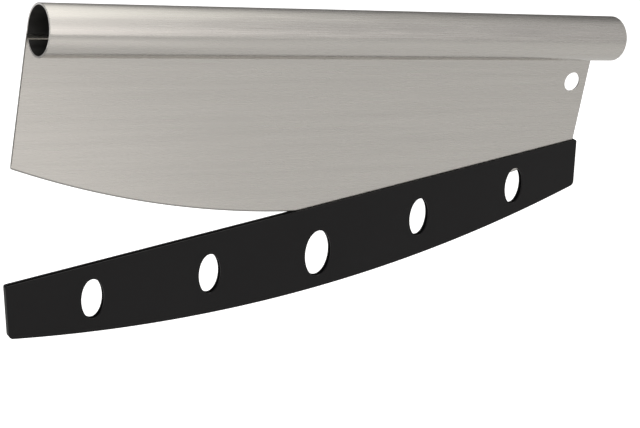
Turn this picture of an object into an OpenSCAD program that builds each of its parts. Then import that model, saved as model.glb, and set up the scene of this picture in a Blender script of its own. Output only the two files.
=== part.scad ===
// Rocking pizza knife: one steel sheet rolled into a tube handle along the top of a wide curved blade,
// and a moulded plastic guard with a slot that covers the cutting edge.
// Frame: the origin is at the middle of the handle's axis, +X runs along the handle to the end with the
// hanging hole, +Y points to the back face of the blade and +Z is up. All sizes are in millimetres.
// The guard is drawn as it is being put on: its right end is on the blade and its left end hangs down.

/* [Knife] */
// Length of the handle and of the blade
knife_l = 355.6; // [250:0.1:430]
// Outer diameter of the rolled handle
handle_d = 25.4; // [20:0.1:31]
// Thickness of the steel sheet
sheet_t = 1; // [0.8:0.05:1.5]
// Gap between the free edge of the rolled sheet and the blade's front face
seam_gap = 1.5; // [0.3:0.05:3]

/* [Blade] */
// Depth of the cutting edge below the handle's axis, at the middle
edge_depth = 101.6; // [92:0.1:125]
// Depth of the blade's two lower corners below the handle's axis
corner_depth = 71.8; // [55:0.1:88]
// Radius of the two lower corners
corner_r = 0.8; // [0.4:0.1:3]
// Height of the ground bevel above the cutting edge
bevel_h = 0.9; // [0.5:0.1:4]
// Thickness left at the cutting edge
edge_t = 0.2; // [0.1:0.05:0.4]

/* [Hanging hole] */
// Diameter of the hanging hole
hang_hole_d = 11; // [6:0.1:14]
// Distance from the blade's right side to the hole's centre
hang_hole_in = 10.5; // [9:0.1:30]
// Depth of the hole's centre below the handle's axis
hang_hole_drop = 29.6; // [26:0.1:60]

/* [Guard] */
// Depth of blade inside the guard at the middle, when it is fully on
guard_cover = 45.6; // [42:0.1:60]
// Free depth under the blade's lower corners, when the guard is fully on
guard_end_room = 10.6; // [2:0.1:16]
// Thickness of the guard's front and back walls
guard_wall = 0.9; // [0.8:0.05:2]
// Thickness of the guard's floor, below the slot
guard_floor = 2.6; // [1.2:0.1:5]
// Thickness of the guard's two end walls
guard_end_wall = 1.1; // [1:0.1:3]
// Free play between the blade and each end wall
guard_end_gap = 1.1; // [1:0.1:4]
// Clearance between the blade and each side of the slot
slot_gap = 0.3; // [0.15:0.05:0.6]
// Clearance between the cutting edge and the slot's floor, when the guard is fully on
edge_gap = 0.3; // [0.2:0.1:2]
// Width and depth of the lead-in along the slot's mouth
slot_lead = 0.3; // [0.1:0.05:0.6]
// Radius of the guard's two lower corners
guard_low_r = 2.8; // [1:0.1:6]
// Radius of the guard's two upper corners
guard_top_r = 1.2; // [0.5:0.1:3]

/* [Guard windows] */
// Distance from one oval window to the next
window_pitch = 67.1; // [40:0.1:72]
// Width of the two inner windows
window_w = 13; // [10:0.1:18]
// Height of the two inner windows
window_h = 22.8; // [18:0.1:26]
// Width of the two end windows
end_window_w = 12.6; // [10:0.1:18]
// Height of the two end windows
end_window_h = 22.3; // [18:0.1:26]
// How far the end windows' centres are below the middle of the guard's height there
end_window_drop = 0.4; // [0:0.1:2]
// Radius of the top and bottom arcs of the inner and the end windows
window_end_r = 4.4; // [2:0.1:4.8]
// Width of the middle window
mid_window_w = 16.6; // [13:0.1:22]
// Height of the middle window
mid_window_h = 27.2; // [23:0.1:32]
// Radius of the top and bottom arcs of the middle window
mid_window_end_r = 5.9; // [3:0.1:6.2]
// How far the middle window's centre is below the middle of the guard's height
mid_window_drop = 4; // [0:0.1:6]

/* [Guard swing] */
// Angle from fully on to the drawn place, about the centre that the guard swings round
guard_tilt = 10.8; // [0:0.05:30]
// Distance from the blade's right side out to the centre of the swing
swing_out = 49.9; // [30:0.1:90]
// Depth of the centre of the swing below the guard's rim, when the guard is fully on
swing_drop = 3.8; // [0:0.1:20]

/* [Hidden] */

// Extra length of a cutter past the face that it cuts
over = 1;
// How far a rounding's circle stands past the faces that it meets, so that they cross cleanly
blend = 0.01;
// Facets on a circle that is small, and on the wide arcs of the blade and the guard
small_fn = 96;
wide_fn = 900;

half_l = knife_l / 2;
handle_r = handle_d / 2;
blade_front_y = handle_r - sheet_t;
blade_mid_y = handle_r - sheet_t / 2;
// Angle round the handle's axis from the blade to the free edge of the sheet, where it is cut off
seam_angle = acos((blade_front_y - seam_gap) / handle_r);
// The cutting edge is an arc through both corners and the lowest point
blade_sag = edge_depth - corner_depth;
blade_arc_r = arc_radius(half_l, blade_sag);
blade_arc_z = blade_arc_r - edge_depth;

slot_w = sheet_t + 2 * slot_gap;
guard_t = slot_w + 2 * guard_wall;
guard_half_l = half_l + guard_end_gap + guard_end_wall;
guard_h = guard_cover + edge_gap + guard_floor;
guard_end_h = guard_cover - blade_sag + guard_end_room + guard_floor;
guard_arc_r = arc_radius(guard_half_l, guard_h - guard_end_h);
guard_arc_z = guard_arc_r - guard_h;
// Places of the swing's centre, and of the guard's rim when it is fully on
rim_z = guard_cover - edge_depth;
swing_x = half_l + swing_out;
swing_z = rim_z - swing_drop;

// Radius of an arc from half its chord and its rise
function arc_radius(half_chord, rise) = (half_chord ^ 2 + rise ^ 2) / (2 * rise);

// Height of the guard, from rim to bottom arc, at a distance x from its middle
function guard_height_at(x) = sqrt(guard_arc_r ^ 2 - x ^ 2) - guard_arc_z;

// Corner of a plate between its right side and a bottom arc, to cut away so that radius r is left
module side_corner_cut(side_x, arc_r, arc_z, r) {
    centre_x = side_x - r;
    centre_z = arc_z - sqrt((arc_r - r) ^ 2 - centre_x ^ 2);
    // Point outside the arc, straight out from the centre of the rounding
    reach = (arc_r + over) / (arc_r - r);
    out_x = centre_x * reach;
    out_z = arc_z + (centre_z - arc_z) * reach;
    difference() {
        polygon([
            [centre_x, centre_z],
            [side_x + over, centre_z],
            [side_x + over, out_z],
            [out_x, out_z]
        ]);
        translate([centre_x, centre_z]) circle(r + blend, $fn = small_fn);
    }
}

// Right-hand top corner of a plate whose rim is at 0, to cut away so that radius r is left
module top_corner_cut(side_x, r) {
    difference() {
        translate([side_x - r, -r]) square(r + over);
        translate([side_x - r, -r]) circle(r + blend, $fn = small_fn);
    }
}

// The child, and its mirror image on the other side of the middle
module both_sides() {
    children();
    mirror([1, 0, 0]) children();
}

// Outline in X and Z made solid in Y, from the front face at y = front over a depth of t
module upright_plate(front, t) {
    translate([0, front + t, 0]) rotate([90, 0, 0]) linear_extrude(t) children();
}

// Disc on the Y axis whose rim narrows to the cutting edge on both faces
module edge_disc() {
    rotate([90, 0, 0]) rotate_extrude($fn = wide_fn) polygon([
        [0, -sheet_t / 2],
        [blade_arc_r - bevel_h, -sheet_t / 2],
        [blade_arc_r, -edge_t / 2],
        [blade_arc_r, edge_t / 2],
        [blade_arc_r - bevel_h, sheet_t / 2],
        [0, sheet_t / 2]
    ]);
}

// Flat blade, tangent to the back of the handle
module blade_plate() {
    difference() {
        intersection() {
            translate([-half_l, blade_front_y, -edge_depth - over])
                cube([knife_l, sheet_t, edge_depth + over]);
            translate([0, blade_mid_y, blade_arc_z]) edge_disc();
        }
        upright_plate(blade_front_y - over, sheet_t + 2 * over)
            both_sides() side_corner_cut(half_l, blade_arc_r, blade_arc_z, corner_r);
        translate([half_l - hang_hole_in, handle_r + over, -hang_hole_drop])
            rotate([90, 0, 0]) cylinder(h = sheet_t + 2 * over, d = hang_hole_d, $fn = small_fn);
    }
}

// Sheet rolled over the top, down the front and back under towards the blade, and cut off square to
// its faces before it gets there
module rolled_handle() {
    reach = handle_r + over;
    difference() {
        rotate([0, 90, 0]) cylinder(h = knife_l, d = handle_d, center = true, $fn = 2 * small_fn);
        rotate([0, 90, 0])
            cylinder(h = knife_l + 2 * over, r = blade_front_y, center = true, $fn = 2 * small_fn);
        rotate([90, 0, 90])
            linear_extrude(knife_l + 2 * over, center = true)
                polygon([[0, 0], [reach, 0], [reach, -reach * tan(seam_angle)]]);
    }
}

module blade_with_handle() {
    color([0.72, 0.71, 0.68]) union() {
        rolled_handle();
        blade_plate();
    }
}

// Upright oval of four arcs, the side arcs tangent to the two end arcs of radius end_r
module oval(w, h, end_r) {
    a = w / 2;
    b = h / 2;
    side_r = (a ^ 2 + b ^ 2 - 2 * b * end_r) / (2 * (a - end_r));
    end_z = b - end_r;
    meet_z = end_z * side_r / (side_r - end_r);
    for (s = [-1, 1]) translate([0, s * end_z]) circle(end_r + blend, $fn = small_fn);
    intersection() {
        translate([side_r - a, 0]) circle(side_r, $fn = 2 * small_fn);
        translate([a - side_r, 0]) circle(side_r, $fn = 2 * small_fn);
        translate([-a, -meet_z]) square([w, 2 * meet_z]);
    }
}

// Outline of the guard: straight rim at 0, square ends and an arc below
module guard_outline() {
    difference() {
        intersection() {
            translate([-guard_half_l, -guard_h]) square([2 * guard_half_l, guard_h]);
            translate([0, guard_arc_z]) circle(guard_arc_r, $fn = wide_fn);
        }
        both_sides() {
            side_corner_cut(guard_half_l, guard_arc_r, guard_arc_z, guard_low_r);
            top_corner_cut(guard_half_l, guard_top_r);
        }
    }
}

// Outline of the slot, open at the rim, with its floor following the guard's arc
module slot_outline() {
    slot_half_l = guard_half_l - guard_end_wall;
    intersection() {
        translate([-slot_half_l, -guard_h]) square([2 * slot_half_l, guard_h + over]);
        translate([0, guard_arc_z]) circle(guard_arc_r - guard_floor, $fn = wide_fn);
    }
}

// Widening of the slot's mouth that leads the cutting edge in
module slot_lead_in() {
    half_w = slot_w / 2;
    rotate([90, 0, 90])
        linear_extrude(2 * (guard_half_l - guard_end_wall), center = true) polygon([
            [-half_w, -slot_lead],
            [half_w, -slot_lead],
            [half_w + slot_lead, 0],
            [half_w + slot_lead, over],
            [-half_w - slot_lead, over],
            [-half_w - slot_lead, 0]
        ]);
}

// Row of oval windows: the inner and the end ones about half way down the guard, the middle one lower
module window_outlines() {
    for (s = [-1, 1]) {
        translate([s * window_pitch, -guard_height_at(window_pitch) / 2])
            oval(window_w, window_h, window_end_r);
        translate([2 * s * window_pitch, -guard_height_at(2 * window_pitch) / 2 - end_window_drop])
            oval(end_window_w, end_window_h, window_end_r);
    }
    translate([0, -guard_h / 2 - mid_window_drop]) oval(mid_window_w, mid_window_h, mid_window_end_r);
}

// Guard on its own, with the middle of its rim at the origin
module guard_body() {
    difference() {
        upright_plate(-guard_t / 2, guard_t) guard_outline();
        upright_plate(-slot_w / 2, slot_w) slot_outline();
        slot_lead_in();
        upright_plate(-guard_t / 2 - over, guard_t + 2 * over) window_outlines();
    }
}

module blade_guard() {
    color([0.12, 0.115, 0.115])
        translate([swing_x, blade_mid_y, swing_z])
            rotate([0, -guard_tilt, 0])
                translate([-swing_x, 0, swing_drop])
                    guard_body();
}

blade_with_handle();
blade_guard();
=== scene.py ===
# %% [markdown]
# # Rocking pizza knife
# A wide curved steel blade that rolls over into a tube handle, and a black plastic guard that is half
# on. Everything is in metres, in the frame of the CAD model: the origin is at the middle of the handle's
# axis, +X runs to the end with the hanging hole, +Y points to the back of the blade and +Z is up.

# %% Tools and the frame
import math

import bmesh
import bpy
from mathutils import Matrix, Vector


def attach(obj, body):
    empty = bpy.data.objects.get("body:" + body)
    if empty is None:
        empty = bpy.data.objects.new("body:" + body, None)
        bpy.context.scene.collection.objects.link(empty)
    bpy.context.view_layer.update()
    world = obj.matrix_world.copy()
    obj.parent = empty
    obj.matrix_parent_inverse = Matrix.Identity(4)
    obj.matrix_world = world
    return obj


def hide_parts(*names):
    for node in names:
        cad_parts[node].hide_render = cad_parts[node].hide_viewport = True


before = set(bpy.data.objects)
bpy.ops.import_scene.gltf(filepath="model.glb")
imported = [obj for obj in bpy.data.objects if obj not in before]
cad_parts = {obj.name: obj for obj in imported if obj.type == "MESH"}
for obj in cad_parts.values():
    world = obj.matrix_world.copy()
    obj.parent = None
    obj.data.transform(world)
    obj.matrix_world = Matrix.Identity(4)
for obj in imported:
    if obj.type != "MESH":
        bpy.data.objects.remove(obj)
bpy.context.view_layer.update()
MM = 0.001
print("CAD nodes:", sorted(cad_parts))

# %% [markdown]
# ## Camera
# The camera stands where the photograph was taken from, about 0.8 m away, to the left and above. Its
# lens and place come from lining up the knife's known sizes with the photograph. The photograph is a
# part of a wider picture, so the lens points to the left of its middle and above it, which the two
# shifts stand for. The knife is modelled level, and was held with its left end a little low, so the
# camera is rolled by the same angle.

# %% Camera
CAMERA_AT = Vector((-472.7, -633.3, 177.6)) * MM
FOCAL_PX = 1572.6
IMAGE_W = 640
SENSOR_MM = 36.0
LENS_SHIFT = (0.1407, -0.1511)
TURN = math.radians(32.56)
LOOK_DOWN = math.radians(16.40)
ROLL = math.radians(9.19)


def add_camera():
    """Camera at the photograph's place, turned to the right, tipped down and rolled."""
    data = bpy.data.cameras.new("camera")
    data.sensor_width = SENSOR_MM
    data.lens = FOCAL_PX / IMAGE_W * SENSOR_MM
    data.shift_x, data.shift_y = LENS_SHIFT
    camera = bpy.data.objects.new("camera", data)
    bpy.context.scene.collection.objects.link(camera)
    turned = Matrix.Rotation(-TURN, 4, "Z") @ Matrix.Rotation(math.pi / 2 - LOOK_DOWN, 4, "X")
    camera.matrix_world = Matrix.Translation(CAMERA_AT) @ turned @ Matrix.Rotation(ROLL, 4, "Z")
    bpy.context.scene.camera = camera
    print("lens", round(data.lens, 1), "mm")


add_camera()

# %% [markdown]
# ## Sizes
# These are the driving sizes of the CAD model. The cutting edge is an arc through both lower corners and
# the lowest point, so its radius follows from half its chord and its rise. The guard's bottom is an arc
# of the same kind.

# %% Sizes of the knife
KNIFE_L = 355.6 * MM
HANDLE_R = 12.7 * MM
SHEET_T = 1.0 * MM
SEAM_GAP = 1.5 * MM
EDGE_DEPTH = 101.6 * MM
CORNER_DEPTH = 71.8 * MM
CORNER_R = 0.8 * MM
GRIND_H = 0.9 * MM
EDGE_T = 0.2 * MM
HOLE_R = 5.5 * MM
HOLE_IN = 10.5 * MM
HOLE_DROP = 29.6 * MM

HALF_L = KNIFE_L / 2
FRONT_Y = HANDLE_R - SHEET_T
MIDDLE_Y = HANDLE_R - SHEET_T / 2


def arc_radius(half_chord, rise):
    """Radius of the arc with this half chord and rise."""
    return (half_chord ** 2 + rise ** 2) / (2 * rise)


EDGE_RISE = EDGE_DEPTH - CORNER_DEPTH
EDGE_R = arc_radius(HALF_L, EDGE_RISE)
EDGE_CENTRE_Z = EDGE_R - EDGE_DEPTH
print("cutting edge radius", round(EDGE_R / MM, 1), "mm")

# %% [markdown]
# ## Helpers
# A finished piece is a mesh object at the origin, with its place in its mesh. All faces are smooth, and
# edges that turn sharply are marked, so flat faces stay flat and round ones look round. The Weighted
# Normal modifier then lets the large flat faces decide the shading beside a narrow rounding.

# %% Helpers
SHARP_ANGLE = math.radians(32)
MERGE = 1e-7
TOUCH = 0.05 * MM
print("edges are sharp from", round(math.degrees(SHARP_ANGLE)), "degrees")


def new_object(name, bm):
    """Mesh object made from a bmesh, at the origin."""
    mesh = bpy.data.meshes.new(name)
    bm.to_mesh(mesh)
    bm.free()
    made = bpy.data.objects.new(name, mesh)
    bpy.context.scene.collection.objects.link(made)
    return made


def cut_away(bm, cutter_bm):
    """A bmesh with the cutter's volume taken out of it, by the exact Boolean modifier."""
    body = new_object("body_to_cut", bm)
    cutter = new_object("cutter", cutter_bm)
    boolean = body.modifiers.new("cut", "BOOLEAN")
    boolean.operation = "DIFFERENCE"
    boolean.solver = "EXACT"
    boolean.object = cutter
    depsgraph = bpy.context.evaluated_depsgraph_get()
    result = bmesh.new()
    result.from_object(body, depsgraph)
    for leftover in (body, cutter):
        mesh = leftover.data
        bpy.data.objects.remove(leftover)
        bpy.data.meshes.remove(mesh)
    bmesh.ops.remove_doubles(result, verts=result.verts, dist=MERGE)
    return result


def finish_piece(name, bm, body, node, materials):
    """Shade a bmesh, and make it the piece that stands for a CAD node on a body."""
    for face in bm.faces:
        face.smooth = True
    for edge in bm.edges:
        edge.smooth = len(edge.link_faces) == 2 and edge.calc_face_angle(0.0) < SHARP_ANGLE
    piece = new_object(name, bm)
    for material in materials:
        piece.data.materials.append(material)
    weighted = piece.modifiers.new("flat_faces_lead", "WEIGHTED_NORMAL")
    weighted.keep_sharp = True
    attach(piece, body)
    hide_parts(node)
    print(name, len(piece.data.polygons), "faces")


# %% [markdown]
# ## Grain
# Both finishes are made of streaks and specks, so one node group gives them: noise read through a
# stretched grid. Long and thin cells are the lines of a brushing belt, and even ones are the texture of
# a mould. The group puts out a value from 0 to 1, and each material says what that value changes.

# %% Grain node group


def grain_group():
    """Node group that stretches noise by a vector and puts out a value."""
    group = bpy.data.node_groups.new("stretched_grain", "ShaderNodeTree")
    group.interface.new_socket("Place", in_out="INPUT", socket_type="NodeSocketVector")
    group.interface.new_socket("Cells per metre", in_out="INPUT", socket_type="NodeSocketVector")
    group.interface.new_socket("Detail", in_out="INPUT", socket_type="NodeSocketFloat")
    group.interface.new_socket("Contrast", in_out="INPUT", socket_type="NodeSocketFloat")
    group.interface.new_socket("Value", in_out="OUTPUT", socket_type="NodeSocketFloat")
    entry = group.nodes.new("NodeGroupInput")
    leave = group.nodes.new("NodeGroupOutput")
    stretch = group.nodes.new("ShaderNodeVectorMath")
    stretch.operation = "MULTIPLY"
    noise = group.nodes.new("ShaderNodeTexNoise")
    noise.inputs["Scale"].default_value = 1.0
    spread = group.nodes.new("ShaderNodeMath")
    spread.operation = "MULTIPLY_ADD"
    spread.use_clamp = True
    offset = group.nodes.new("ShaderNodeMath")
    offset.operation = "MULTIPLY_ADD"
    offset.inputs[1].default_value = -0.5
    offset.inputs[2].default_value = 0.5
    link = group.links.new
    link(entry.outputs["Place"], stretch.inputs[0])
    link(entry.outputs["Cells per metre"], stretch.inputs[1])
    link(stretch.outputs["Vector"], noise.inputs["Vector"])
    link(entry.outputs["Detail"], noise.inputs["Detail"])
    link(entry.outputs["Contrast"], offset.inputs[0])
    link(noise.outputs["Fac"], spread.inputs[0])
    link(entry.outputs["Contrast"], spread.inputs[1])
    link(offset.outputs["Value"], spread.inputs[2])
    link(spread.outputs["Value"], leave.inputs["Value"])
    return group


GRAIN = grain_group()
print("node group:", GRAIN.name)


def add_grain(tree, place, cells, detail, contrast):
    """Grain group in a material's tree; returns its value socket."""
    node = tree.nodes.new("ShaderNodeGroup")
    node.node_tree = GRAIN
    tree.links.new(place, node.inputs["Place"])
    node.inputs["Cells per metre"].default_value = cells
    node.inputs["Detail"].default_value = detail
    node.inputs["Contrast"].default_value = contrast
    return node.outputs["Value"]


def add_range(tree, value, low, high):
    """Value from 0 to 1 turned into one from low to high."""
    node = tree.nodes.new("ShaderNodeMapRange")
    node.inputs["To Min"].default_value = low
    node.inputs["To Max"].default_value = high
    tree.links.new(value, node.inputs["Value"])
    return node.outputs["Result"]


def add_mix(tree, factor, low, high):
    """Colour between two colours."""
    node = tree.nodes.new("ShaderNodeMix")
    node.data_type = "RGBA"
    node.inputs["A"].default_value = (*low, 1.0)
    node.inputs["B"].default_value = (*high, 1.0)
    tree.links.new(factor, node.inputs["Factor"])
    return node.outputs["Result"]


def add_bump(tree, height, strength, distance):
    """Small relief that feeds the shader's normal."""
    node = tree.nodes.new("ShaderNodeBump")
    node.inputs["Strength"].default_value = strength
    node.inputs["Distance"].default_value = distance
    tree.links.new(height, node.inputs["Height"])
    tree.links.new(node.outputs["Normal"], tree.nodes["Principled BSDF"].inputs["Normal"])


def plain_material(name, colour, metallic, roughness):
    """Material with a Principled shader of one colour, to build a finish on."""
    material = bpy.data.materials.new(name)
    material.use_nodes = True
    shader = material.node_tree.nodes["Principled BSDF"]
    shader.inputs["Base Color"].default_value = (*colour, 1.0)
    shader.inputs["Metallic"].default_value = metallic
    shader.inputs["Roughness"].default_value = roughness
    return material


# %% [markdown]
# ## Brushed steel
# The sheet is brushed along its length before it is rolled, so the lines follow the handle and the blade
# alike. The piece's own UV map has X along the knife and Y along the sheet, flattened out, and the lines
# are drawn on that. The brushing also makes the shine wider across the lines than along them, which is
# what Anisotropic is for.

# %% Brushed steel
GRAIN_MAP = "flat_sheet"
STEEL = (0.60, 0.578, 0.545)
STEEL_DULL = (0.55, 0.53, 0.50)


def sheet_place(tree):
    """Place on the flattened sheet."""
    node = tree.nodes.new("ShaderNodeUVMap")
    node.uv_map = GRAIN_MAP
    return node.outputs["UV"]


def brushed_steel():
    """Face of the sheet, with brushing lines of two widths."""
    material = plain_material("brushed_steel", STEEL, 1.0, 0.27)
    tree = material.node_tree
    shader = tree.nodes["Principled BSDF"]
    place = sheet_place(tree)
    wide = add_grain(tree, place, (7.0, 260.0, 1.0), 3.0, 1.6)
    fine = add_grain(tree, place, (24.0, 1900.0, 1.0), 2.0, 1.8)
    tree.links.new(add_mix(tree, wide, STEEL_DULL, STEEL), shader.inputs["Base Color"])
    tree.links.new(add_range(tree, fine, 0.20, 0.32), shader.inputs["Roughness"])
    add_bump(tree, fine, 0.12, 0.00002)
    shader.inputs["Anisotropic"].default_value = 0.5
    tangent = tree.nodes.new("ShaderNodeTangent")
    tangent.direction_type = "UV_MAP"
    tangent.uv_map = GRAIN_MAP
    tree.links.new(tangent.outputs["Tangent"], shader.inputs["Tangent"])
    return material


# %% [markdown]
# The inside of the handle is painted near-black, as painted shade where little light gets in. The cutting
# edge is ground across its length, which leaves short scratches that cross the brushing. The sheet's cut
# ends have lines across their thickness, and on the handle, where a hand feels them, they are polished.

# %% Other steel faces


def shaded_inside_steel():
    """Face inside the rolled handle, painted dark as painted shade, with a cloudy tone."""
    # painted shade: a near-black copy of the steel, where little light reaches inside the handle
    material = plain_material("shaded_inside_steel", (0.10, 0.098, 0.092), 1.0, 0.5)
    tree = material.node_tree
    cloudy = add_grain(tree, sheet_place(tree), (60.0, 240.0, 1.0), 4.0, 1.4)
    shader = tree.nodes["Principled BSDF"]
    colour = add_mix(tree, cloudy, (0.07, 0.068, 0.064), (0.13, 0.127, 0.12))
    tree.links.new(colour, shader.inputs["Base Color"])
    tree.links.new(add_range(tree, cloudy, 0.42, 0.6), shader.inputs["Roughness"])
    return material


def ground_steel():
    """Ground faces of the cutting edge, scratched across."""
    material = plain_material("ground_steel", (0.34, 0.33, 0.315), 1.0, 0.36)
    tree = material.node_tree
    scratches = add_grain(tree, sheet_place(tree), (2600.0, 90.0, 1.0), 2.0, 2.0)
    shader = tree.nodes["Principled BSDF"]
    colour = add_mix(tree, scratches, (0.27, 0.262, 0.25), (0.40, 0.39, 0.37))
    tree.links.new(colour, shader.inputs["Base Color"])
    tree.links.new(add_range(tree, scratches, 0.28, 0.44), shader.inputs["Roughness"])
    return material


def cut_steel():
    """Cut end of the sheet, with lines across its thickness."""
    material = plain_material("cut_steel", (0.42, 0.41, 0.39), 1.0, 0.42)
    tree = material.node_tree
    coordinates = tree.nodes.new("ShaderNodeTexCoord")
    lines = add_grain(tree, coordinates.outputs["Object"], (500.0, 900.0, 2400.0), 2.0, 2.0)
    shader = tree.nodes["Principled BSDF"]
    colour = add_mix(tree, lines, (0.34, 0.332, 0.318), (0.50, 0.487, 0.465))
    tree.links.new(colour, shader.inputs["Base Color"])
    tree.links.new(add_range(tree, lines, 0.34, 0.5), shader.inputs["Roughness"])
    return material


def rim_steel():
    """Rounded end of the handle, polished by the rounding."""
    material = plain_material("rim_steel", (0.80, 0.785, 0.76), 1.0, 0.2)
    tree = material.node_tree
    coordinates = tree.nodes.new("ShaderNodeTexCoord")
    specks = add_grain(tree, coordinates.outputs["Object"], (900.0, 900.0, 900.0), 2.0, 1.6)
    tree.links.new(add_range(tree, specks, 0.16, 0.28), tree.nodes["Principled BSDF"].inputs["Roughness"])
    return material


STEEL_FINISHES = [brushed_steel(), shaded_inside_steel(), ground_steel(), cut_steel(), rim_steel()]
BRUSHED, SHADED_INSIDE, GROUND, CUT, RIM = range(len(STEEL_FINISHES))
print("steel finishes:", ", ".join(material.name for material in STEEL_FINISHES))

# %% [markdown]
# ## Blade and handle
# One sheet of steel makes both. A grid stands for the sheet's outer face: its lowest row follows the
# cutting edge, and its upper rows roll round the handle's axis, over the top, down the front and back
# under to the blade. Giving that face its thickness afterwards makes the front, the back and every rim
# at once, as in the real sheet.

# %% Rows and columns of the sheet
COLUMNS = 72
CORNER_STEPS = 6
ROLL_STEPS = 96
MEET_Z = -math.sqrt(HANDLE_R ** 2 - FRONT_Y ** 2)
print("the handle's circle crosses the blade's front at", round(MEET_Z / MM, 1), "mm")


def column_places():
    """Places along X: even over the middle, and crowded round each lower corner."""
    side = HALF_L - CORNER_R
    even = [side * (2 * i / COLUMNS - 1) for i in range(COLUMNS + 1)]
    turns = [math.pi / 2 * i / CORNER_STEPS for i in range(1, CORNER_STEPS + 1)]
    corner = [side + CORNER_R * math.sin(turn) for turn in turns]
    return [-x for x in reversed(corner)] + even + corner


def rim_z(x):
    """Height of the sheet's lower rim at x, with the lower corners rounded."""
    side = HALF_L - CORNER_R
    if abs(x) <= side:
        return EDGE_CENTRE_Z - math.sqrt(EDGE_R ** 2 - x ** 2)
    centre_z = EDGE_CENTRE_Z - math.sqrt((EDGE_R - CORNER_R) ** 2 - side ** 2)
    return centre_z - math.sqrt(max(CORNER_R ** 2 - (abs(x) - side) ** 2, 0.0))


def add_row(bm, xs, y, z_of):
    """Row of points along X at depth y, at the height that z_of gives."""
    return [bm.verts.new((x, y, z_of(x))) for x in xs]


def sheet_face():
    """Outer face of the sheet: blade rows, then the rows rolled round the handle."""
    bm = bmesh.new()
    xs = column_places()
    rows = [
        add_row(bm, xs, HANDLE_R, rim_z),
        add_row(bm, xs, HANDLE_R, lambda x: rim_z(x) + GRIND_H),
        add_row(bm, xs, HANDLE_R, lambda x: MEET_Z),
        add_row(bm, xs, HANDLE_R, lambda x: 0.0),
    ]
    last = 2 * math.pi - math.acos((FRONT_Y - SEAM_GAP) / HANDLE_R)
    for i in range(1, ROLL_STEPS + 1):
        angle = last * i / ROLL_STEPS
        rows.append(add_row(bm, xs, HANDLE_R * math.cos(angle), lambda x: HANDLE_R * math.sin(angle)))
    for low, high in zip(rows, rows[1:]):
        for i in range(len(xs) - 1):
            bm.faces.new((low[i], low[i + 1], high[i + 1], high[i]))
    return bm


# %% [markdown]
# The thickened sheet still ends square at the bottom. Its lowest points move in towards the middle of
# the sheet, which grinds the two bevels of the cutting edge. The hanging hole is cut through, and then
# the cut ends and the hole's rims are rounded a little, as they are on the real knife.

# %% Thickness, grinding, hole and rounding
END_ROUND = 0.22 * MM
END_ROUND_STEPS = 3
END_ANGLE = math.radians(60)
HOLE_SIDES = 96


def grind_edge(bm):
    """Move the sheet's lowest points in, to leave the thin cutting edge."""
    for vert in bm.verts:
        on_rim = vert.co.z < rim_z(vert.co.x) + GRIND_H / 4
        if on_rim and vert.co.y > 0:
            side = 1 if vert.co.y > MIDDLE_Y else -1
            vert.co.y = MIDDLE_Y + side * EDGE_T / 2


def hole_cutter():
    """Rod through the blade where the hanging hole is."""
    bm = bmesh.new()
    centre = Matrix.Translation((HALF_L - HOLE_IN, MIDDLE_Y, -HOLE_DROP))
    place = centre @ Matrix.Rotation(math.pi / 2, 4, "X")
    bmesh.ops.create_cone(
        bm, cap_ends=True, segments=HOLE_SIDES, radius1=HOLE_R, radius2=HOLE_R, depth=6 * SHEET_T,
        matrix=place,
    )
    return bm


def is_cut_end(edge):
    """True for an edge between a face of the sheet and one of its cut ends, away from the ground edge."""
    if len(edge.link_faces) != 2 or edge.calc_face_angle(0.0) < END_ANGLE:
        return False
    return all(vert.co.z > rim_z(vert.co.x) + GRIND_H - 1e-6 for vert in edge.verts)


def sheet_body():
    """The whole sheet, closed, ground, drilled and rounded."""
    bm = sheet_face()
    bmesh.ops.recalc_face_normals(bm, faces=bm.faces)
    bmesh.ops.solidify(bm, geom=list(bm.faces), thickness=SHEET_T)
    grind_edge(bm)
    bmesh.ops.recalc_face_normals(bm, faces=bm.faces)
    bm = cut_away(bm, hole_cutter())
    ends = [edge for edge in bm.edges if is_cut_end(edge)]
    bmesh.ops.bevel(
        bm, geom=ends, offset=END_ROUND, offset_type="OFFSET", segments=END_ROUND_STEPS, profile=0.5,
        affect="EDGES", material=-1,
    )
    return bm


# %% [markdown]
# Each face then gets its finish by where it lies, and the UV map flattens the sheet out: X along the
# knife, and Y down the blade or round the roll.

# %% Finish and map of each face
END_FACE_LEAN = 0.3


def steel_finish(face):
    """Finish of a face, by its place and the way it points."""
    middle = face.calc_center_median()
    reach = math.hypot(middle.y, middle.z)
    if abs(face.normal.x) > END_FACE_LEAN:
        return RIM if reach < HANDLE_R + TOUCH and middle.z > MEET_Z else CUT
    if middle.z < rim_z(middle.x) + GRIND_H:
        return GROUND
    # faces inside the handle get the steel that is painted dark as shade
    if reach < HANDLE_R - SHEET_T / 2 and middle.z > -HANDLE_R:
        return SHADED_INSIDE
    return BRUSHED


def along_sheet(point):
    """Distance up the flattened sheet, from the height of the handle's axis."""
    if point.z < 0 and point.y > FRONT_Y - SEAM_GAP / 2:
        return point.z
    return HANDLE_R * (math.atan2(point.z, point.y) % (2 * math.pi))


def dress_sheet(bm):
    """Set every face's finish and its place on the flattened sheet."""
    bm.normal_update()
    flat = bm.loops.layers.uv.new(GRAIN_MAP)
    for face in bm.faces:
        face.material_index = steel_finish(face)
        for loop in face.loops:
            loop[flat].uv = (loop.vert.co.x, along_sheet(loop.vert.co))


sheet = sheet_body()
print("sheet volume", round(sheet.calc_volume() / MM ** 3), "cubic mm")
dress_sheet(sheet)
finish_piece(
    "blade_and_rolled_handle", sheet, "knife", "blade_with_handle", STEEL_FINISHES
)

# %% [markdown]
# ## Black plastic
# The guard is moulded in a soft black plastic with a satin skin. A fine even grain breaks up its shine,
# and a wide one makes it a little uneven, as the skin of a thin moulding is.

# %% Black plastic
PLASTIC = (0.0052, 0.0049, 0.0052)
PLASTIC_PALE = (0.0066, 0.0063, 0.0066)


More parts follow.
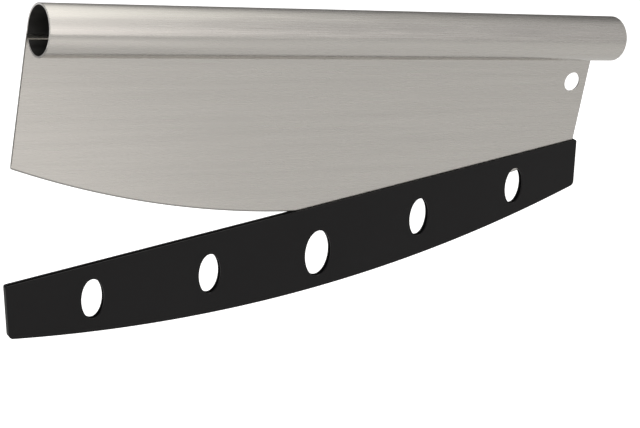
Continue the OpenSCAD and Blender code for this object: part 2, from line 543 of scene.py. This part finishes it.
def black_plastic():
    """Satin moulded plastic."""
    material = plain_material("black_plastic", PLASTIC, 0.0, 0.4)
    tree = material.node_tree
    shader = tree.nodes["Principled BSDF"]
    shader.inputs["Specular IOR Level"].default_value = 0.16
    place = tree.nodes.new("ShaderNodeTexCoord").outputs["Object"]
    skin = add_grain(tree, place, (2200.0, 2200.0, 2200.0), 3.0, 1.5)
    cloudy = add_grain(tree, place, (22.0, 22.0, 22.0), 3.0, 1.6)
    tree.links.new(add_mix(tree, cloudy, PLASTIC, PLASTIC_PALE), shader.inputs["Base Color"])
    tree.links.new(add_range(tree, cloudy, 0.36, 0.46), shader.inputs["Roughness"])
    add_bump(tree, skin, 0.12, 0.00005)
    return material


# %% [markdown]
# ## Guard
# The guard is a flat sheath: a straight rim, square ends and an arc below. It is built on its own, with
# the middle of its rim at the origin, and is then swung to its place on the blade, about the same centre
# as the CAD model's hinge.

# %% Sizes of the guard
GUARD_COVER = 45.6 * MM
GUARD_END_ROOM = 10.6 * MM
GUARD_WALL = 0.9 * MM
GUARD_FLOOR = 2.6 * MM
GUARD_END_WALL = 1.1 * MM
GUARD_END_GAP = 1.1 * MM
SLOT_GAP = 0.3 * MM
EDGE_GAP = 0.3 * MM
SLOT_LEAD = 0.3 * MM
GUARD_LOW_R = 2.8 * MM
GUARD_TOP_R = 1.2 * MM
WINDOW_PITCH = 67.1 * MM
WINDOW = (13.0 * MM, 22.8 * MM)
END_WINDOW = (12.6 * MM, 22.3 * MM)
END_WINDOW_DROP = 0.4 * MM
MID_WINDOW = (16.6 * MM, 27.2 * MM)
MID_WINDOW_DROP = 4.0 * MM
GUARD_TILT = math.radians(10.8)
SWING_OUT = 49.9 * MM
SWING_DROP = 3.8 * MM

SLOT_W = SHEET_T + 2 * SLOT_GAP
GUARD_T = SLOT_W + 2 * GUARD_WALL
GUARD_HALF = HALF_L + GUARD_END_GAP + GUARD_END_WALL
GUARD_H = GUARD_COVER + EDGE_GAP + GUARD_FLOOR
GUARD_END_H = GUARD_COVER - EDGE_RISE + GUARD_END_ROOM + GUARD_FLOOR
GUARD_R = arc_radius(GUARD_HALF, GUARD_H - GUARD_END_H)
GUARD_CENTRE_Z = GUARD_R - GUARD_H
print("guard", round(2 * GUARD_HALF / MM, 1), "x", round(GUARD_H / MM, 1), "x", round(GUARD_T / MM, 1), "mm")

# %% [markdown]
# The front face starts as its outline and the outlines of the five windows, filled with triangles. A few
# small insets that also rise then round its rims, round each window as well.

# %% Outlines
EDGE_ROUND = 0.2 * MM
ROUND_STEPS = 4
WINDOW_SIDES = 72
TOP_CORNER_STEPS = 6
LOW_CORNER_STEPS = 10
WIDE_ARC_STEPS = 96


def arc_points(centre, radius, start, end, steps):
    """Points along an arc, from the angle start to the angle end, as (x, z)."""
    turns = [start + (end - start) * i / steps for i in range(steps + 1)]
    return [(centre[0] + radius * math.cos(t), centre[1] + radius * math.sin(t)) for t in turns]


def guard_outline():
    """Outline of the guard, from its upper left corner round by the right."""
    top_x = GUARD_HALF - GUARD_TOP_R
    low_x = GUARD_HALF - GUARD_LOW_R
    low_z = GUARD_CENTRE_Z - math.sqrt((GUARD_R - GUARD_LOW_R) ** 2 - low_x ** 2)
    lean = math.atan2(low_z - GUARD_CENTRE_Z, low_x)
    half_turn = math.pi
    points = arc_points((-top_x, -GUARD_TOP_R), GUARD_TOP_R, half_turn, half_turn / 2, TOP_CORNER_STEPS)
    points += arc_points((top_x, -GUARD_TOP_R), GUARD_TOP_R, half_turn / 2, 0.0, TOP_CORNER_STEPS)
    points += arc_points((low_x, low_z), GUARD_LOW_R, 0.0, lean, LOW_CORNER_STEPS)
    points += arc_points((0.0, GUARD_CENTRE_Z), GUARD_R, lean, -half_turn - lean, WIDE_ARC_STEPS)[1:-1]
    points += arc_points((-low_x, low_z), GUARD_LOW_R, -half_turn - lean, -half_turn, LOW_CORNER_STEPS)
    return points


def oval_outline(centre, size):
    """Upright oval of one window."""
    turns = [2 * math.pi * i / WINDOW_SIDES for i in range(WINDOW_SIDES)]
    return [(centre[0] + size[0] / 2 * math.cos(t), centre[1] + size[1] / 2 * math.sin(t)) for t in turns]


def window_outlines():
    """The outlines of the large middle window, and of two inner and two end windows."""
    ovals = []
    for step, size, drop in (
        (-2, END_WINDOW, END_WINDOW_DROP), (-1, WINDOW, 0.0), (0, MID_WINDOW, MID_WINDOW_DROP),
        (1, WINDOW, 0.0), (2, END_WINDOW, END_WINDOW_DROP),
    ):
        x = step * WINDOW_PITCH
        height = math.sqrt(GUARD_R ** 2 - x ** 2) - GUARD_CENTRE_Z
        ovals.append(oval_outline((x, -height / 2 - drop), size))
    return ovals


def add_loop(bm, points, y):
    """Closed loop of edges through (x, z) points at depth y."""
    verts = [bm.verts.new((x, y, z)) for x, z in points]
    return [bm.edges.new((verts[i - 1], verts[i])) for i in range(len(verts))]


# %% Guard's body
def guard_solid():
    """Solid guard with its windows and rounded rims, and no slot yet."""
    bm = bmesh.new()
    start_y = -GUARD_T / 2 + EDGE_ROUND
    loops = add_loop(bm, guard_outline(), start_y)
    for oval in window_outlines():
        loops += add_loop(bm, oval, start_y)
    bmesh.ops.triangle_fill(bm, use_beauty=True, use_dissolve=False, edges=loops, normal=(0.0, -1.0, 0.0))
    face = list(bm.faces)
    sides = [edge for edge in bm.edges if edge.is_boundary]
    walls = bmesh.ops.extrude_edge_only(bm, edges=sides)["geom"]
    bmesh.ops.translate(
        bm, verts=[v for v in walls if isinstance(v, bmesh.types.BMVert)], vec=(0.0, -start_y, 0.0)
    )
    for i in range(ROUND_STEPS):
        before, after = (math.pi / 2 * k / ROUND_STEPS for k in (i, i + 1))
        bmesh.ops.inset_region(
            bm, faces=face, use_even_offset=True,
            thickness=EDGE_ROUND * (math.cos(before) - math.cos(after)),
            depth=EDGE_ROUND * (math.sin(after) - math.sin(before)),
        )
    bmesh.ops.mirror(bm, geom=bm.verts[:] + bm.edges[:] + bm.faces[:], merge_dist=1e-6, axis="Y")
    bmesh.ops.remove_doubles(bm, verts=bm.verts, dist=MERGE)
    bmesh.ops.recalc_face_normals(bm, faces=bm.faces)
    return bm


# %% [markdown]
# The slot is cut out of that solid with a block of the blade's own outline. The block flares where it
# leaves the rim, which makes the lead-in that helps the edge find the slot.

# %% Slot
def slot_cutter():
    """Block for the slot: floor along the guard's arc, square ends, and a flared mouth."""
    over = 2.0 * MM
    half = GUARD_HALF - GUARD_END_WALL
    radius = GUARD_R - GUARD_FLOOR
    start = math.atan2(-math.sqrt(radius ** 2 - half ** 2), half)
    floor = arc_points((0.0, GUARD_CENTRE_Z), radius, start, -math.pi - start, WIDE_ARC_STEPS)
    bm = bmesh.new()
    low = [bm.verts.new((x, 0.0, z)) for x, z in floor]
    levels = [[bm.verts.new((x, 0.0, z)) for x in (-half, half)] for z in (-SLOT_LEAD, 0.0, over)]
    bm.faces.new(low + levels[0])
    for below, above in zip(levels, levels[1:]):
        bm.faces.new((below[0], above[0], above[1], below[1]))
    plan = list(bm.faces)
    bmesh.ops.recalc_face_normals(bm, faces=plan)
    made = bmesh.ops.extrude_face_region(bm, geom=plan)["geom"]
    far = {v for v in made if isinstance(v, bmesh.types.BMVert)}
    for vert in bm.verts:
        flare = SLOT_LEAD if vert.co.z > -SLOT_LEAD / 2 else 0.0
        vert.co.y = (SLOT_W / 2 + flare) * (1 if vert in far else -1)
    bmesh.ops.recalc_face_normals(bm, faces=bm.faces)
    return bm


def swing_to_blade():
    """Turn that takes the guard from the origin to its place, half on the blade."""
    rim_height = GUARD_COVER - EDGE_DEPTH
    centre = Vector((HALF_L + SWING_OUT, MIDDLE_Y, rim_height - SWING_DROP))
    to_hinge = Matrix.Translation((-centre.x, 0.0, SWING_DROP))
    return Matrix.Translation(centre) @ Matrix.Rotation(-GUARD_TILT, 4, "Y") @ to_hinge


sheath = cut_away(guard_solid(), slot_cutter())
print("guard volume", round(sheath.calc_volume() / MM ** 3), "cubic mm")
bmesh.ops.transform(sheath, matrix=swing_to_blade(), verts=sheath.verts)
finish_piece("moulded_guard", sheath, "guard", "blade_guard", [black_plastic()])

# %% [markdown]
# ## Soft patches
# The studio's lights, and the pool of light on the floor, are all soft-edged ellipses. One node group
# draws them: it takes two coordinates, which are a place on the floor or a direction in the sky, and
# puts out 1 in the ellipse's core, falling smoothly to 0 at its edge.

# %% Soft patch node group


def patch_group():
    """Node group that puts out the mask of a soft ellipse in two coordinates."""
    group = bpy.data.node_groups.new("soft_patch", "ShaderNodeTree")
    names = ("First", "Second", "First centre", "Second centre", "First half", "Second half", "Core")
    for name in names:
        group.interface.new_socket(name, in_out="INPUT", socket_type="NodeSocketFloat")
    group.interface.new_socket("Mask", in_out="OUTPUT", socket_type="NodeSocketFloat")
    entry = group.nodes.new("NodeGroupInput")
    leave = group.nodes.new("NodeGroupOutput")
    link = group.links.new
    squares = []
    for name in ("First", "Second"):
        away = group.nodes.new("ShaderNodeMath")
        away.operation = "SUBTRACT"
        link(entry.outputs[name], away.inputs[0])
        link(entry.outputs[name + " centre"], away.inputs[1])
        share = group.nodes.new("ShaderNodeMath")
        share.operation = "DIVIDE"
        link(away.outputs["Value"], share.inputs[0])
        link(entry.outputs[name + " half"], share.inputs[1])
        square = group.nodes.new("ShaderNodeMath")
        square.operation = "MULTIPLY"
        link(share.outputs["Value"], square.inputs[0])
        link(share.outputs["Value"], square.inputs[1])
        squares.append(square.outputs["Value"])
    total = group.nodes.new("ShaderNodeMath")
    total.operation = "ADD"
    link(squares[0], total.inputs[0])
    link(squares[1], total.inputs[1])
    reach = group.nodes.new("ShaderNodeMath")
    reach.operation = "SQRT"
    link(total.outputs["Value"], reach.inputs[0])
    fall = group.nodes.new("ShaderNodeMapRange")
    fall.interpolation_type = "SMOOTHSTEP"
    fall.inputs["To Min"].default_value = 1.0
    fall.inputs["To Max"].default_value = 0.0
    link(reach.outputs["Value"], fall.inputs["Value"])
    link(entry.outputs["Core"], fall.inputs["From Min"])
    link(fall.outputs["Result"], leave.inputs["Mask"])
    return group


PATCH = patch_group()
print("node group:", PATCH.name)


def add_patch(tree, first, second, centre, half, core):
    """Soft patch group in a tree; returns its mask socket."""
    node = tree.nodes.new("ShaderNodeGroup")
    node.node_tree = PATCH
    tree.links.new(first, node.inputs["First"])
    tree.links.new(second, node.inputs["Second"])
    node.inputs["First centre"].default_value, node.inputs["Second centre"].default_value = centre
    node.inputs["First half"].default_value, node.inputs["Second half"].default_value = half
    node.inputs["Core"].default_value = core
    return node.outputs["Mask"]


# %% [markdown]
# ## Floor
# The floor is a wide pale sheet, well below the knife. It is overexposed to white where the camera sees
# it, as a lit product table is, while the steel reflects its softer true brightness. Its colour is painted
# a little darker far out, as painted shade, and a pool of light lies on it in front of the knife.

# %% Floor
FLOOR_Z = -0.30
FLOOR_SIZE = 14.0
FLOOR_NEAR = (0.70, 0.70, 0.70)
FLOOR_FAR = (0.55, 0.55, 0.55)
NEAR_CENTRE = (0.2, -0.2)
NEAR_HALF = (2.6, 2.6)
NEAR_CORE = 0.2
POOL_CENTRE = (0.0, -1.1)
POOL_HALF = (0.35, 1.1)
POOL_CORE = 0.5
POOL_GLOW = 0.34
POOL_COLOUR = (1.0, 0.96, 0.94)
CAMERA_GLOW = 0.7


def floor_material():
    """Pale matt floor that shows white to the camera and grey to everything else."""
    material = plain_material("pale_floor", FLOOR_NEAR, 0.0, 0.9)
    tree = material.node_tree
    link = tree.links.new
    shader = tree.nodes["Principled BSDF"]
    place = tree.nodes.new("ShaderNodeSeparateXYZ")
    link(tree.nodes.new("ShaderNodeTexCoord").outputs["Object"], place.inputs["Vector"])
    across, along = place.outputs["X"], place.outputs["Y"]
    # painted shade: the floor's colour goes darker far from the knife, where the light falls off
    near = add_patch(tree, across, along, NEAR_CENTRE, NEAR_HALF, NEAR_CORE)
    link(add_mix(tree, near, FLOOR_FAR, FLOOR_NEAR), shader.inputs["Base Color"])
    pool = add_patch(tree, across, along, POOL_CENTRE, POOL_HALF, POOL_CORE)
    link(add_range(tree, pool, 0.0, POOL_GLOW), shader.inputs["Emission Strength"])
    shader.inputs["Emission Color"].default_value = (*POOL_COLOUR, 1.0)
    glow = tree.nodes.new("ShaderNodeEmission")
    glow.inputs["Color"].default_value = (1.0, 1.0, 1.0, 1.0)
    glow.inputs["Strength"].default_value = CAMERA_GLOW
    both = tree.nodes.new("ShaderNodeAddShader")
    choice = tree.nodes.new("ShaderNodeMixShader")
    path = tree.nodes.new("ShaderNodeLightPath")
    link(shader.outputs["BSDF"], both.inputs[0])
    link(glow.outputs["Emission"], both.inputs[1])
    link(path.outputs["Is Camera Ray"], choice.inputs["Fac"])
    link(shader.outputs["BSDF"], choice.inputs[1])
    link(both.outputs["Shader"], choice.inputs[2])
    link(choice.outputs["Shader"], tree.nodes["Material Output"].inputs["Surface"])
    return material


def add_floor():
    """Square floor, attached to no body."""
    bm = bmesh.new()
    bmesh.ops.create_grid(bm, x_segments=1, y_segments=1, size=FLOOR_SIZE / 2)
    bmesh.ops.translate(bm, verts=bm.verts, vec=(0.0, 0.0, FLOOR_Z))
    floor = new_object("floor", bm)
    floor.data.materials.append(floor_material())
    print("floor", round(-FLOOR_Z / MM), "mm below the handle's axis")


add_floor()

# %% [markdown]
# ## Light
# Steel shows what is round it, so the light is a soft studio drawn on the sky. Its directions are given
# by the angle round the handle's axis, from 0 in front through a quarter turn overhead to half a turn at
# the back, and by how far they lean along the handle. A pale room goes darker behind the knife, and a
# dark flag stands there on the right, which draw the line along the top of the handle. Soft boxes hang
# overhead and in front, a strip of light crosses them, and a fill lights the floor from the left. Each
# box is an ellipse in those two measures, and its core is the share of it that is fully lit.

# %% Light
ROOM = 0.53
ROOM_BACK = 0.38
ROOM_FALL = (math.radians(70), math.radians(135))
ROOM_COLOUR = (1.0, 0.985, 0.985)
BACK_SHADE = 0.35
BACK_FALL = (math.radians(125), math.radians(175))
FLAG = {"angle": 150, "half_angle": 75, "lean": 0.88, "half_lean": 0.34, "core": 0.3, "depth": 0.8}
SOFT_BOXES = {
    "overhead": {"angle": 105, "half_angle": 50, "lean": 0.2, "half_lean": 0.38, "core": 0.7,
                 "strength": 0.55, "colour": (0.985, 1.0, 0.93)},
    "front": {"angle": 15, "half_angle": 30, "lean": 0.25, "half_lean": 0.27, "core": 0.3,
              "strength": 0.6, "colour": (1.05, 0.99, 0.985)},
    "strip": {"angle": 60, "half_angle": 200, "lean": 0.3, "half_lean": 0.18, "core": 0.2,
              "strength": 1.6, "colour": (1.02, 1.0, 0.97)},
    "fill": {"angle": 45, "half_angle": 65, "lean": -0.45, "half_lean": 0.5, "core": 0.5,
             "strength": 1.4, "colour": (1.0, 1.0, 1.0)},
}


def add_sky_patch(tree, angle, lean, patch):
    """Mask of a patch of the sky."""
    centre = (math.radians(patch["angle"]), patch["lean"])
    half = (math.radians(patch["half_angle"]), patch["half_lean"])
    return add_patch(tree, angle, lean, centre, half, patch["core"])


def add_sky_angles(tree):
    """Angle round the handle's axis and lean along it, of each direction in the sky."""
    split = tree.nodes.new("ShaderNodeSeparateXYZ")
    tree.links.new(tree.nodes.new("ShaderNodeTexCoord").outputs["Generated"], split.inputs["Vector"])
    forward = tree.nodes.new("ShaderNodeMath")
    forward.operation = "MULTIPLY"
    forward.inputs[1].default_value = -1.0
    tree.links.new(split.outputs["Y"], forward.inputs[0])
    angle = tree.nodes.new("ShaderNodeMath")
    angle.operation = "ARCTAN2"
    tree.links.new(split.outputs["Z"], angle.inputs[0])
    tree.links.new(forward.outputs["Value"], angle.inputs[1])
    return angle.outputs["Value"], split.outputs["X"]


def add_fall(tree, value, span, before, after):
    """Smooth change from one value to another over a span of angles."""
    fall = tree.nodes.new("ShaderNodeMapRange")
    fall.interpolation_type = "SMOOTHSTEP"
    fall.inputs["From Min"].default_value, fall.inputs["From Max"].default_value = span
    fall.inputs["To Min"].default_value = before
    fall.inputs["To Max"].default_value = after
    tree.links.new(value, fall.inputs["Value"])
    return fall.outputs["Result"]


def add_scale(tree, vector, scale):
    """Vector or colour times a value."""
    node = tree.nodes.new("ShaderNodeVectorMath")
    node.operation = "SCALE"
    if isinstance(vector, bpy.types.NodeSocket):
        tree.links.new(vector, node.inputs[0])
    else:
        node.inputs[0].default_value = vector
    tree.links.new(scale, node.inputs["Scale"])
    return node.outputs["Vector"]


def add_light(tree, before, mask, colour, strength):
    """Light of one colour added where its mask is, on top of the light before."""
    total = tree.nodes.new("ShaderNodeVectorMath")
    total.operation = "ADD"
    tree.links.new(before, total.inputs[0])
    tree.links.new(add_scale(tree, [strength * channel for channel in colour], mask), total.inputs[1])
    return total.outputs["Vector"]


def add_studio():
    """Sky with the room and its soft boxes."""
    world = bpy.data.worlds.new("studio")
    world.use_nodes = True
    tree = world.node_tree
    angle, lean = add_sky_angles(tree)
    room = add_fall(tree, angle, ROOM_FALL, ROOM, ROOM_BACK)
    flag = add_range(tree, add_sky_patch(tree, angle, lean, FLAG), 1.0, 1.0 - FLAG["depth"])
    light = add_scale(tree, add_scale(tree, ROOM_COLOUR, room), flag)
    for box in SOFT_BOXES.values():
        mask = add_sky_patch(tree, angle, lean, box)
        light = add_light(tree, light, mask, box["colour"], box["strength"])
    light = add_scale(tree, light, add_fall(tree, angle, BACK_FALL, 1.0, BACK_SHADE))
    tree.links.new(light, tree.nodes["Background"].inputs["Color"])
    tree.nodes["Background"].inputs["Strength"].default_value = 1.0
    bpy.context.scene.world = world
    print("soft boxes:", ", ".join(SOFT_BOXES))


add_studio()
bpy.context.scene.view_settings.view_transform = "Standard"

# %% [markdown]
# ## Finish
# The view layer is brought up to date.

# %% Finish
bpy.context.view_layer.update()
